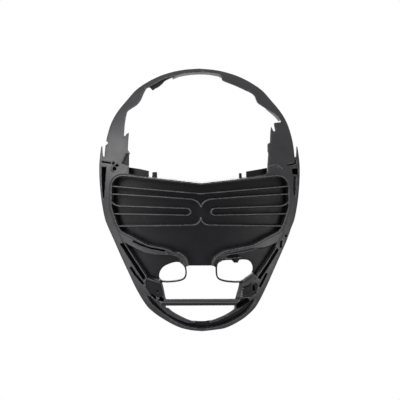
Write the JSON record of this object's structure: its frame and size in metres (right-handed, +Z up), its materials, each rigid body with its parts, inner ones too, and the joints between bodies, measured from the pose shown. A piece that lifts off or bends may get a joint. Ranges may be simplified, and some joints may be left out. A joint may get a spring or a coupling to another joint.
{
  "type": "headlight guard",
  "caption": "One-piece moulded plastic guard for a motorbike headlight: a hoop round the lamp over a ribbed front pocket, with side skirts, two lower openings, a crossbar and a chin.",
  "frame": {"origin": "centre of the guard's bounding box, on its centre plane", "axes": "+Z up as fitted on the bike, the face looks along -Y, +X to the right seen from the front"},
  "size_m": [0.313, 0.1214, 0.419],
  "materials": {
    "moulding": "satin black, moulded"
  },
  "bodies": {
    "root": {"guard_moulding": "moulding"}
  },
  "joints": []
}
